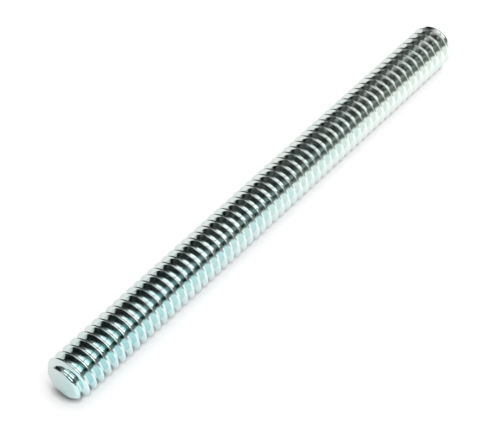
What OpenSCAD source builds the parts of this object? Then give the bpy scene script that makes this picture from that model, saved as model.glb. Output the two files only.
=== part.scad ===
// Air cleaner stud: a straight steel rod with one rolled thread along its whole length.
// Millimetres, +Z up. The stud stands on its lower end face and its axis is the Z axis.

/* [Stud] */

// Length from end face to end face (3 in)
stud_length = 76.2; // [38.1:0.1:101.6]
// Slope of the end chamfers, measured from the axis in degrees
chamfer_angle = 45; // [30:1:60]
// How far the rim of an end face lies inside the root of the thread
end_drop = 0.08; // [0.08:0.01:0.4]
// Radius that rounds the rim of an end face
rim_round = 0.2; // [0.05:0.01:0.25]

/* [Thread] */

// Diameter over the crests (1/4 in size, less its working allowance)
thread_dia = 6.25; // [5:0.05:8]
// Distance from crest to crest (20 to the inch)
thread_pitch = 1.27; // [1:0.01:1.6]
// Angle between the two flanks of the groove, in degrees
flank_angle = 60; // [55:1:60]
// Width of the crest as a share of the pitch
crest_share = 0.125; // [0.1:0.005:0.2]
// Width of the root as a share of the pitch
root_share = 0.22; // [0.15:0.01:0.3]

/* [Hidden] */

// Thread form, from the pitch and the flank angle
flank_slope = tan(flank_angle / 2);
crest_r = thread_dia / 2;
thread_depth = (1 - crest_share - root_share) * thread_pitch / 2 / flank_slope;
root_r = crest_r - thread_depth;

// End form: the chamfer leaves a flat face that lies wholly inside the root
end_r = root_r - end_drop;
chamfer_length = (crest_r - end_r) / tan(chamfer_angle);
rim_turn = 90 - chamfer_angle;
flat_r = end_r - rim_round * tan(rim_turn / 2);
rim_steps = 3;

// The groove is cut past the crests, by less than would join it to its next turn
overcut = crest_share * thread_pitch / flank_slope / 3;
mouth_half = (1 - crest_share) * thread_pitch / 2 + overcut * flank_slope;
root_half = root_share * thread_pitch / 2;

// The groove starts one pitch below the stud and ends one pitch above it
groove_turns = stud_length / thread_pitch + 2;
facet_budget = 10000;
turn_steps = max(12, min(20, floor(facet_budget / 8 / groove_turns)));
groove_steps = ceil(groove_turns * turn_steps);

// One end of the blank as [radius, height above its face], from the axis out to the crests
end_profile = [
    [0, 0],
    for (step = [0 : rim_steps])
        let (angle = -90 + rim_turn * step / rim_steps)
        [flat_r + rim_round * cos(angle), rim_round * (1 + sin(angle))],
    [crest_r, chamfer_length]
];

// The blank before threading: a bar with a chamfer and a flat face at each end
module blank() {
    other_end = [for (i = [len(end_profile) - 1 : -1 : 0]) end_profile[i]];
    rotate_extrude($fn = 2 * turn_steps)
        polygon(concat(
            end_profile,
            [for (point = other_end) [point[0], stud_length - point[1]]]
        ));
}

// The groove's cross-section as [radius, height], with its mouth outside the crests
groove_section = [
    [crest_r + overcut, -mouth_half],
    [root_r, -root_half],
    [root_r, root_half],
    [crest_r + overcut, mouth_half]
];

// The groove: its section carried along a right-hand helix
module thread_groove() {
    corners = len(groove_section);
    last = groove_steps * corners;
    points = [
        for (step = [0 : groove_steps])
            let (turn = step / turn_steps)
            for (corner = groove_section)
                [
                    corner[0] * cos(360 * turn),
                    corner[0] * sin(360 * turn),
                    corner[1] + thread_pitch * (turn - 1)
                ]
    ];
    walls = [
        for (step = [0 : groove_steps - 1])
            for (side = [0 : corners - 1])
                let (
                    here = step * corners + side,
                    beside = step * corners + (side + 1) % corners
                )
                each [
                    [here, beside + corners, beside],
                    [here, here + corners, beside + corners]
                ]
    ];
    first_cap = [for (i = [0 : corners - 1]) i];
    last_cap = [for (i = [corners - 1 : -1 : 0]) last + i];
    polyhedron(points, concat(walls, [first_cap, last_cap]), convexity = 4);
}

// The stud: the blank with the groove rolled into it from end to end
module stud() {
    color([0.72, 0.78, 0.78])
        difference() {
            blank();
            thread_groove();
        }
}

stud();
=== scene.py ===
import math

import bmesh
import bpy
from mathutils import Matrix, Vector


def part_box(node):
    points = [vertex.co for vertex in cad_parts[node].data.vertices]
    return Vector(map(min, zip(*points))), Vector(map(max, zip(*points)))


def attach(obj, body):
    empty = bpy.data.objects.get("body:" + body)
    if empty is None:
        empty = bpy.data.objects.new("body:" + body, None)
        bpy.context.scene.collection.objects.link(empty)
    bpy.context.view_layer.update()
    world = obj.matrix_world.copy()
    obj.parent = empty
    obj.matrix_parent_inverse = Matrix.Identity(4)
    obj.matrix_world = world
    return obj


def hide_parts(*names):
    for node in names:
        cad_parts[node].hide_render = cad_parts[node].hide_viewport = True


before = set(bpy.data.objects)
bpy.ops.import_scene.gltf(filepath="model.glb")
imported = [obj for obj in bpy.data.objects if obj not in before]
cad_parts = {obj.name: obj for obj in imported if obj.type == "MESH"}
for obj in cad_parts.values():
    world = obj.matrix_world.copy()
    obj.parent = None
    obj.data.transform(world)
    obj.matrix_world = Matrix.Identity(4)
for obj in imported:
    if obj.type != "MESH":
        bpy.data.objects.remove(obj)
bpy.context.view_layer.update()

# Thread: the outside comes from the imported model. The flanks are steeper than the solid's 30 degrees
# and the root is a little narrower and deeper, so that the reflections stripe as in the photograph.
low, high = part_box("stud")
LENGTH = high.z - low.z
MIDDLE = Vector((0, 0, LENGTH / 2))
CREST_R = (high.x - low.x) / 2
PITCH = 1.27e-3
TURNS = round(LENGTH / PITCH)
CREST_SHARE = 0.15
ROOT_SHARE = 0.2
FLANK_SLOPE = math.tan(math.radians(26.5))
ROOT_HALF = ROOT_SHARE * PITCH / 2
ROOT_R = CREST_R - (1 - CREST_SHARE - ROOT_SHARE) * PITCH / 2 / FLANK_SLOPE

# Ends: a flat face, a rounded rim and a chamfer that starts just inside the root of the solid
SOLID_THREAD_DEPTH = 0.72e-3
END_DROP = 0.08e-3
RIM_ROUND = 0.12e-3
CHAMFER_ANGLE = math.radians(45)
END_R = CREST_R - SOLID_THREAD_DEPTH - END_DROP
FLAT_R = END_R - RIM_ROUND * math.tan(CHAMFER_ANGLE / 2)
RIM_HEIGHT = RIM_ROUND * (1 - math.cos(CHAMFER_ANGLE))

# How softly a rolled thread turns from one surface into the next.
# The crown is how much a crest falls off, per square of the distance from its middle.
CREST_ROUND = 0.04e-3
ROOT_ROUND = 0.08e-3
RUNOUT_ROUND = 0.05e-3
RUNOUT_REACH = 2 * PITCH
CREST_CROWN = 2000

# Mesh: steps round the stud, and rows outward from the middle of the groove, in millimetres,
# which lie closer together on the rounded parts
COLUMNS = 54
ROOT_ROWS = [0.06, 0.085, 0.10, 0.115, 0.13, 0.145, 0.16, 0.175]
CREST_ROWS = [0.49, 0.515, 0.53, 0.545, 0.565, 0.605]
MILLIMETRE = 1e-3
TRIM_TOLERANCE = 1e-7
RIM_TOLERANCE = 1e-6
FLAT_NORMAL = 0.999

# Camera, as fitted to the photograph's outline and thread
IMAGE_WIDTH = 480
IMAGE_HEIGHT = 430
FOCAL_PIXELS = 1704
NEAR_END_PIXEL = (61.8, 383.3)
NEAR_END_DEPTH = 0.20382
AXIS_IN_VIEW = Vector((-0.6443, -0.5868, 0.4904)).normalized()
CAMERA_AZIMUTH = math.radians(-84)

# Zinc: its blue is stronger toward the upper end and in random patches, and thin on worn crests; bluer in
# front and paler behind is a painted reflection tint
BLUE_FILM = (0.55, 0.755, 0.77, 1)
CLEAR_FILM = (0.76, 0.82, 0.785, 1)
WORN_CREST = (0.84, 0.86, 0.86, 1)
FILM_HEIGHTS = (0.2 * LENGTH, LENGTH)
# Painted reflection tint: the blue share runs from behind the stud to its front, and this is its share
# behind
PAINTED_TINT_SIDES = (-0.6 * CREST_R, 0.5 * CREST_R)
PAINTED_TINT_BEHIND = 0.2
FILM_VARIATION = 0.2
WORN_RADII = (CREST_R - 0.06e-3, CREST_R - 0.01e-3)
WORN_MOST = 0.8
ROUGHNESS = (0.07, 0.14)
CREST_ROUGHNESS = 0.08

# Zinc: the scale and detail of each noise, and the heights of the bumps
PATCHES = (260, 4)
SPECKS = (1500, 3)
RIPPLES = (800, 2)
MARKS = (9000, 2)
MARK_STRETCH = 0.12
RIPPLE_HEIGHT = 8e-6
MARK_HEIGHT = 1.2e-6

# Table: a lift makes it white to the camera, and close to the stud a painted contact shade takes it away
# and darkens its colour
TABLE_COLOUR = (0.82, 0.82, 0.82, 1)
TABLE_MARGIN = 0.18
CAMERA_LIFT = 0.38
PAINTED_SHADE_REACH = 1.5e-3

# Table behind the stud and in front of it: the lift that the metal sees, a painted glow brighter in front,
# the deepest painted shade, and how open the table is where the painted shade is deepest and where it ends
METAL_LIFT = (0.2, 0.46)
DEEPEST_PAINTED_SHADE = (0.26, 0.65)
PAINTED_SHADE_FULL = (0.55, 0.3)
PAINTED_SHADE_GONE = (1.0, 0.65)

# Room: a dark floor and dark walls that only the metal sees, and the light that comes from all sides
AMBIENT = 0.53
DARK_COLOUR = (0.015, 0.019, 0.019, 1)
FLOOR_REACH = 1
FLOOR_GAP = 0.001
ROOM_RADIUS = 0.9
WALL_RADIUS = ROOM_RADIUS * 0.9
ROOM_LEVELS = 8
TURN_STEP = 5
LAMP_HEIGHT = 0.35

# Where the dark walls start: turns round the table and rises above it, in degrees
ROOM_RIM = [
    (0, 4), (45, 6), (98, 4), (130, 4), (150, 2), (172, -2),
    (190, -6), (235, -6), (270, -4), (300, 2), (343, 5), (360, 4),
]

# Glowing walls: name, turns and rises in degrees, colour and strength
WALLS = [
    ("left_wall", (165, 205), (-6, 14), (0.95, 1, 0.96), 0.28),
    ("front_wall", (290, 360), (4, 40), (0.95, 1, 0.9), 0.2),
]

# Glowing cards overhead: name, colour, strength, share of the lamps' height, and corners as slopes
# from the middle of the stud, along it and to its front
GLOW_CARDS = [
    ("far_card", (0.93, 1, 0.97), 0.34, 1,
     [(-1.7, -0.5), (-1.05, -0.5), (-1.05, 1.15), (-1.9, 3.0), (-3.3, 3.0), (-2.1, 1.15)]),
    ("grey_ceiling", (0.95, 1, 0.97), 0.25, 1,
     [(-0.5, -0.85), (0.6, -0.85), (0.6, -0.44), (-0.5, -0.44)]),
    ("grey_strip", (0.95, 1, 0.97), 0.12, 1,
     [(-0.64, -0.6), (-0.4, -0.85), (-0.5, -2.1), (-0.85, -2.1)]),
    ("near_card", (1, 0.98, 0.97), 1.0, 0.9,
     [(0.15, -0.6), (1.0, -0.6), (1.0, 0.3), (0.3, 0.3)]),
]

# A dark flag just under the overhead lamp, which gives the lamp's reflection a slanted edge
FLAG = [(0.6, -0.6), (0.6, 0.28), (0.3, 0.28), (-0.2, -0.27), (-0.45, -0.6)]
FLAG_SHARE = 0.95

# Lamps: name, edges as slopes from the middle of the stud, along it and to its front, colour, radiance
LAMPS = [
    ("overhead", (-0.62, 0.12), (-0.60, 0.28), (1, 0.98, 0.97), 1.65),
    ("front", (-0.78, 0.22), (0.36, 1.4), (1, 1, 1), 2.0),
]


# Camera, and directions on the photograph's table

def make_camera():
    """Places the camera so that the upper end comes nearest and lies at the lower left."""
    forward = Vector((0, math.sqrt(1 - AXIS_IN_VIEW.z**2), -AXIS_IN_VIEW.z))
    level = Vector((1, 0, 0))
    upright = level.cross(forward)
    sine = AXIS_IN_VIEW.x / upright.z
    cosine = AXIS_IN_VIEW.y / upright.z
    right = level * cosine + upright * sine
    up = upright * cosine - level * sine
    scale = NEAR_END_DEPTH / FOCAL_PIXELS
    across = (NEAR_END_PIXEL[0] - IMAGE_WIDTH / 2) * scale
    above = (IMAGE_HEIGHT / 2 - NEAR_END_PIXEL[1]) * scale
    place = Vector((0, 0, LENGTH)) - right * across - up * above - forward * NEAR_END_DEPTH
    pose = Matrix((right, up, -forward)).transposed().to_4x4()
    pose.translation = place
    data = bpy.data.cameras.new("camera")
    data.sensor_width = 36
    data.lens = FOCAL_PIXELS * data.sensor_width / IMAGE_WIDTH
    data.clip_start = 0.01
    data.clip_end = 10
    camera = bpy.data.objects.new("camera", data)
    camera.matrix_world = Matrix.Rotation(CAMERA_AZIMUTH, 4, "Z") @ pose
    bpy.context.scene.collection.objects.link(camera)
    bpy.context.scene.camera = camera
    return camera


def table_directions(camera):
    """Up from the table, to the front of the stud, to the camera's right, and away from the camera."""
    pose = camera.matrix_world.to_3x3()
    tilt = math.atan2(-AXIS_IN_VIEW.y, AXIS_IN_VIEW.z)
    up = (pose @ Vector((0, math.cos(tilt), math.sin(tilt)))).normalized()
    to_front = up.cross(near)
    if to_front.dot(camera.location) < 0:
        to_front = -to_front
    right = (pose @ Vector((1, 0, 0))).normalized()
    away = up.cross(right).normalized()
    return up, to_front, right, away


near = Vector((0, 0, 1))
table_up, front, view_right, view_away = table_directions(make_camera())


# Shape of the stud

def soft_min(a, b, width):
    """The smaller of two heights, with the corner where they cross rounded."""
    overlap = max(width - abs(a - b), 0) / width
    return min(a, b) - overlap * overlap * width / 4


def soft_max(a, b, width):
    """The larger of two heights, rounded in the same way."""
    return -soft_min(-a, -b, width)


def thread_radius(offset):
    """Radius of the thread at a distance along the axis from the middle of its groove."""
    flank = ROOT_R + (abs(offset) - ROOT_HALF) / FLANK_SLOPE
    crest = CREST_R - CREST_CROWN * (PITCH / 2 - abs(offset)) ** 2
    return soft_min(crest, soft_max(ROOT_R, flank, ROOT_ROUND), CREST_ROUND)


def end_radius(height):
    """Largest radius of the chamfered end at a height above its face."""
    if height <= 0:
        return FLAT_R
    if height < RIM_HEIGHT:
        return FLAT_R + math.sqrt(RIM_ROUND**2 - (RIM_ROUND - height) ** 2)
    return END_R + height * math.tan(CHAMFER_ANGLE)


def profile_offsets():
    """Where the rows of one turn lie along the axis, from one crest over the groove to the next."""
    side = [offset * MILLIMETRE for offset in ROOT_ROWS + CREST_ROWS]
    return [-offset for offset in reversed(side)] + side


def grid_vertices(offsets):
    """Rows of vertices along the helix, one column per step round the stud."""
    vertices = []
    for column in range(COLUMNS):
        angle = 2 * math.pi * column / COLUMNS
        for turn in range(-1, TURNS + 2):
            for offset in offsets:
                z = PITCH * (turn + column / COLUMNS) + offset
                radius = thread_radius(offset)
                height = min(z, LENGTH - z)
                if height < RUNOUT_REACH:
                    radius = soft_min(radius, end_radius(height), RUNOUT_ROUND)
                vertices.append((radius * math.cos(angle), radius * math.sin(angle), z))
    return vertices


def grid_faces(rows_per_turn):
    """Quads between neighbouring columns. The last column meets the first one turn higher."""
    rows = rows_per_turn * (TURNS + 3)
    faces = []
    for column in range(COLUMNS):
        last = column == COLUMNS - 1
        here = column * rows
        there = rows_per_turn if last else here + rows
        for row in range(rows - 1 - (rows_per_turn if last else 0)):
            faces.append((here + row, there + row, there + row + 1, here + row + 1))
    return faces


def close_end(bm, z, outward):
    """Trims the thread at the plane of an end face, makes the rim a circle and fills the face."""
    bmesh.ops.bisect_plane(
        bm,
        geom=bm.verts[:] + bm.edges[:] + bm.faces[:],
        dist=TRIM_TOLERANCE,
        plane_co=(0, 0, z),
        plane_no=(0, 0, outward),
        clear_outer=True,
    )
    rim = [e for e in bm.edges if e.is_boundary and all(abs(v.co.z - z) < RIM_TOLERANCE for v in e.verts)]
    for vert in {v for e in rim for v in e.verts}:
        vert.co = Vector((vert.co.x, vert.co.y, 0)).normalized() * FLAT_R + Vector((0, 0, z))
    filled = bmesh.ops.contextual_create(bm, geom=rim)["faces"]
    bmesh.ops.poke(bm, faces=filled)


def make_stud():
    """The stud as one closed mesh in place of the solid's. Only its end faces are shaded flat."""
    offsets = profile_offsets()
    mesh = bpy.data.meshes.new("threaded_stud")
    mesh.from_pydata(grid_vertices(offsets), [], grid_faces(len(offsets)))
    bm = bmesh.new()
    bm.from_mesh(mesh)
    close_end(bm, 0, -1)
    close_end(bm, LENGTH, 1)
    bmesh.ops.recalc_face_normals(bm, faces=bm.faces[:])
    for face in bm.faces:
        face.smooth = abs(face.normal.z) < FLAT_NORMAL
    bm.to_mesh(mesh)
    bm.free()
    mesh.materials.append(zinc_material())
    stud = bpy.data.objects.new("threaded_stud", mesh)
    bpy.context.scene.collection.objects.link(stud)
    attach(stud, "root")
    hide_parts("stud")


# Nodes

def new_material(name):
    """A new material and its shader."""
    material = bpy.data.materials.new(name)
    material.use_nodes = True
    return material, material.node_tree.nodes["Principled BSDF"]


def add_node(tree, kind, inputs, output=0, **settings):
    """Adds a node. Its inputs go by name or number: a socket is linked and a value is set."""
    node = tree.nodes.new(kind)
    for name, value in settings.items():
        setattr(node, name, value)
    for key, value in inputs.items():
        if isinstance(value, bpy.types.NodeSocket):
            tree.links.new(value, node.inputs[key])
        else:
            node.inputs[key].default_value = value
    return node.outputs[output]


def math_node(tree, operation, *inputs):
    return add_node(tree, "ShaderNodeMath", dict(enumerate(inputs)), operation=operation)


def ramp_node(tree, value, start, end, first, last):
    """Turns a value from start to end into one from first to last."""
    return add_node(tree, "ShaderNodeMapRange", dict(enumerate((value, start, end, first, last))))


def noise_node(tree, place, scale, detail):
    inputs = {"Vector": place, "Scale": scale, "Detail": detail}
    return add_node(tree, "ShaderNodeTexNoise", inputs, "Fac")


def mix_colour(tree, share, first, second):
    """Blends two colours, for which a mix node has its inputs 6 and 7 and its output 2."""
    return add_node(tree, "ShaderNodeMix", {0: share, 6: first, 7: second}, 2, data_type="RGBA")


def bump_node(tree, height, distance, normal=None):
    """Bumps on the plain surface, or on a surface that has bumps already."""
    inputs = {"Height": height, "Distance": distance}
    if normal is not None:
        inputs["Normal"] = normal
    return add_node(tree, "ShaderNodeBump", inputs, "Normal")


def object_place(tree):
    return add_node(tree, "ShaderNodeTexCoord", {}, "Object")


def front_distance(tree):
    """How far a place lies in front of the stud's axis, as a socket."""
    inputs = {0: object_place(tree), 1: front}
    return add_node(tree, "ShaderNodeVectorMath", inputs, "Value", operation="DOT_PRODUCT")


def seen_directly(tree, by_camera, by_metal):
    """One value where the camera looks, another where the metal does, nought where light only spreads."""
    path = tree.nodes.new("ShaderNodeLightPath").outputs
    camera_share = math_node(tree, "MULTIPLY", path["Is Camera Ray"], by_camera)
    metal_share = math_node(tree, "MULTIPLY", path["Is Glossy Ray"], by_metal)
    return math_node(tree, "ADD", camera_share, metal_share)


# Materials

def zinc_material():
    """Bright zinc with rolling marks along the flanks and worn crests. It is bluer toward the upper end
    and in patches, and a painted reflection tint makes it bluer in front and paler behind.
    """
    material, shader = new_material("zinc_plate")
    tree = material.node_tree
    place = object_place(tree)
    axes = tree.nodes.new("ShaderNodeSeparateXYZ")
    tree.links.new(place, axes.inputs[0])
    x, y, z = axes.outputs
    square = math_node(tree, "ADD", math_node(tree, "POWER", x, 2.0), math_node(tree, "POWER", y, 2.0))
    radius = math_node(tree, "SQRT", square)

    height = ramp_node(tree, z, *FILM_HEIGHTS, 0.0, 1.0)
    # Painted reflection tint: bluer in front of the axis and paler behind it
    side = ramp_node(tree, front_distance(tree), *PAINTED_TINT_SIDES, PAINTED_TINT_BEHIND, 1.0)
    patches = noise_node(tree, place, *PATCHES)
    variation = ramp_node(tree, patches, 0.3, 0.7, -FILM_VARIATION, FILM_VARIATION)
    film_and_painted_tint = math_node(tree, "ADD", math_node(tree, "MULTIPLY", height, side), variation)
    colour = mix_colour(tree, film_and_painted_tint, CLEAR_FILM, BLUE_FILM)
    specks = noise_node(tree, place, *SPECKS)
    crest = ramp_node(tree, radius, *WORN_RADII, 0.0, 1.0)
    worn = math_node(tree, "MULTIPLY", crest, ramp_node(tree, specks, 0.4, 0.6, 0.0, WORN_MOST))
    tree.links.new(mix_colour(tree, worn, colour, WORN_CREST), shader.inputs["Base Color"])
    shader.inputs["Metallic"].default_value = 1

    rough = ramp_node(tree, specks, 0.3, 0.7, *ROUGHNESS)
    rough = math_node(tree, "ADD", rough, math_node(tree, "MULTIPLY", crest, CREST_ROUGHNESS))
    tree.links.new(rough, shader.inputs["Roughness"])

    stretched_x = math_node(tree, "MULTIPLY", x, MARK_STRETCH)
    stretched_y = math_node(tree, "MULTIPLY", y, MARK_STRETCH)
    along = add_node(tree, "ShaderNodeCombineXYZ", {0: stretched_x, 1: stretched_y, 2: radius})
    ripples = bump_node(tree, noise_node(tree, place, *RIPPLES), RIPPLE_HEIGHT)
    marks = bump_node(tree, noise_node(tree, along, *MARKS), MARK_HEIGHT, ripples)
    tree.links.new(marks, shader.inputs["Normal"])
    return material


def table_material():
    """White card. It is seen white by the camera and in the metal, and is clear from below. Near the stud
    a painted contact shade darkens it, and the metal sees a painted glow that is brighter in front.
    """
    material, shader = new_material("white_table")
    tree = material.node_tree
    shader.inputs["Roughness"].default_value = 0.9
    shader.inputs["Specular IOR Level"].default_value = 0.0
    shader.inputs["Emission Color"].default_value = (1, 1, 1, 1)

    side = front_distance(tree)
    # Painted light and shade: the metal's glow and the contact shade change from behind the stud to its
    # front
    metal_lift, deepest, full, gone = [
        ramp_node(tree, side, -CREST_R, CREST_R, behind, before)
        for behind, before in (METAL_LIFT, DEEPEST_PAINTED_SHADE, PAINTED_SHADE_FULL, PAINTED_SHADE_GONE)
    ]
    openness = add_node(tree, "ShaderNodeAmbientOcclusion", {"Distance": PAINTED_SHADE_REACH}, "AO")
    # Painted contact shade: the card darkens where the stud closes it in
    painted_shade = ramp_node(tree, openness, full, gone, deepest, 1.0)
    tree.links.new(mix_colour(tree, painted_shade, (0, 0, 0, 1), TABLE_COLOUR), shader.inputs["Base Color"])
    lift = seen_directly(tree, CAMERA_LIFT, metal_lift)
    # The painted contact shade also takes the lift away close to the stud
    lift = math_node(tree, "MULTIPLY", lift, ramp_node(tree, openness, full, gone, 0.0, 1.0))
    tree.links.new(lift, shader.inputs["Emission Strength"])

    clear = add_node(tree, "ShaderNodeBsdfTransparent", {})
    below = add_node(tree, "ShaderNodeNewGeometry", {}, "Backfacing")
    surface = add_node(tree, "ShaderNodeMixShader", {0: below, 1: shader.outputs[0], 2: clear})
    tree.links.new(surface, tree.nodes["Material Output"].inputs["Surface"])
    return material


def dark_material():
    material, shader = new_material("dark_room")
    shader.inputs["Base Color"].default_value = DARK_COLOUR
    shader.inputs["Roughness"].default_value = 1
    shader.inputs["Specular IOR Level"].default_value = 0.0
    return material


def glow_material(name, colour, strength):
    material, shader = new_material(name)
    shader.inputs["Base Color"].default_value = (0, 0, 0, 1)
    shader.inputs["Specular IOR Level"].default_value = 0.0
    shader.inputs["Emission Color"].default_value = (*colour, 1)
    shader.inputs["Emission Strength"].default_value = strength
    return material


# Table, room and lamps

def stage_mesh(name, vertices, faces, material):
    mesh = bpy.data.meshes.new(name)
    mesh.from_pydata(vertices, [], faces)
    mesh.materials.append(material)
    piece = bpy.data.objects.new(name, mesh)
    bpy.context.scene.collection.objects.link(piece)
    return piece


def reflect_only(piece):
    """Keeps a piece of the room out of everything but the reflections in the metal."""
    piece.visible_camera = False
    piece.visible_diffuse = False
    piece.visible_shadow = False


def flat_sheet(name, drop, along, across, material):
    """A level rectangle under the stud, with its edges measured along the stud and to its front."""
    corners = [(along[0], across[0]), (along[1], across[0]), (along[1], across[1]), (along[0], across[1])]
    corners = [near * a + front * b - table_up * drop for a, b in corners]
    return stage_mesh(name, corners, [(0, 1, 2, 3)], material)


def ceiling_card(name, outline, share, material):
    """A level card at a share of the lamps' height. Its corners are slopes from the middle of the stud."""
    corners = [MIDDLE + (table_up + near * a + front * b) * LAMP_HEIGHT * share for a, b in outline]
    reflect_only(stage_mesh(name, corners, [range(len(corners))], material))


def toward(turn, rise):
    """Direction at a turn round the table, from the camera's right to away, and a rise, in degrees."""
    turn = math.radians(turn)
    rise = math.radians(rise)
    level = view_right * math.cos(turn) + view_away * math.sin(turn)
    return level * math.cos(rise) + table_up * math.sin(rise)


def room_rim(turn):
    """How high above the table the dark walls start, which leaves a pale horizon on some sides."""
    for (first, lower), (second, upper) in zip(ROOM_RIM, ROOM_RIM[1:]):
        if turn <= second:
            return lower + (upper - lower) * (turn - first) / (second - first)


def room_patch(name, turns, rises, radius, material):
    """Part of a dome round the stud between two rises. None as the first rise follows the room's rim."""
    turns = range(turns[0], turns[1] + 1, TURN_STEP)
    vertices = []
    for level in range(ROOM_LEVELS):
        for turn in turns:
            lowest = room_rim(turn) if rises[0] is None else rises[0]
            rise = lowest + (rises[1] - lowest) * level / (ROOM_LEVELS - 1)
            vertices.append(MIDDLE + toward(turn, rise) * radius)
    faces = []
    for level in range(ROOM_LEVELS - 1):
        for step in range(len(turns) - 1):
            a = level * len(turns) + step
            faces.append((a, a + 1, a + 1 + len(turns), a + len(turns)))
    reflect_only(stage_mesh(name, vertices, faces, material))


def make_world():
    """Plain light from all sides, which looks white to the camera and in the metal."""
    world = bpy.data.worlds.new("studio")
    bpy.context.scene.world = world
    world.use_nodes = True
    tree = world.node_tree
    background = tree.nodes["Background"]
    background.inputs["Color"].default_value = (1, 1, 1, 1)
    strength = ramp_node(tree, seen_directly(tree, 1.0, 1.0), 0.0, 1.0, AMBIENT, 1.0)
    tree.links.new(strength, background.inputs["Strength"])


def softbox(name, along, across, colour, radiance):
    """A lamp flat above the table, with its edges as slopes along the stud and to its front."""
    width = LAMP_HEIGHT * (along[1] - along[0])
    depth = LAMP_HEIGHT * (across[1] - across[0])
    data = bpy.data.lights.new(name, "AREA")
    data.shape = "RECTANGLE"
    data.size = width
    data.size_y = depth
    data.color = colour
    data.energy = radiance * math.pi * width * depth
    light = bpy.data.objects.new(name, data)
    light.matrix_world = Matrix((near, front, near.cross(front))).transposed().to_4x4()
    centre = table_up + near * sum(along) / 2 + front * sum(across) / 2
    light.location = MIDDLE + centre * LAMP_HEIGHT
    bpy.context.scene.collection.objects.link(light)


# Building: the stud, then the table, the room and the lamps round it
bpy.context.scene.view_settings.view_transform = "Standard"
make_stud()
table_along = (-TABLE_MARGIN, LENGTH + TABLE_MARGIN)
table_across = (-TABLE_MARGIN, TABLE_MARGIN)
flat_sheet("table", CREST_R, table_along, table_across, table_material())
dark = dark_material()
floor_edges = (-FLOOR_REACH, FLOOR_REACH)
reflect_only(flat_sheet("dark_floor", CREST_R + FLOOR_GAP, floor_edges, floor_edges, dark))
room_patch("dark_room", (0, 360), (None, 90), ROOM_RADIUS, dark)
for name, turns, rises, colour, strength in WALLS:
    room_patch(name, turns, rises, WALL_RADIUS, glow_material(name, colour, strength))
for name, colour, strength, share, outline in GLOW_CARDS:
    ceiling_card(name, outline, share, glow_material(name, colour, strength))
ceiling_card("flag", FLAG, FLAG_SHARE, dark)
make_world()
for lamp in LAMPS:
    softbox(*lamp)
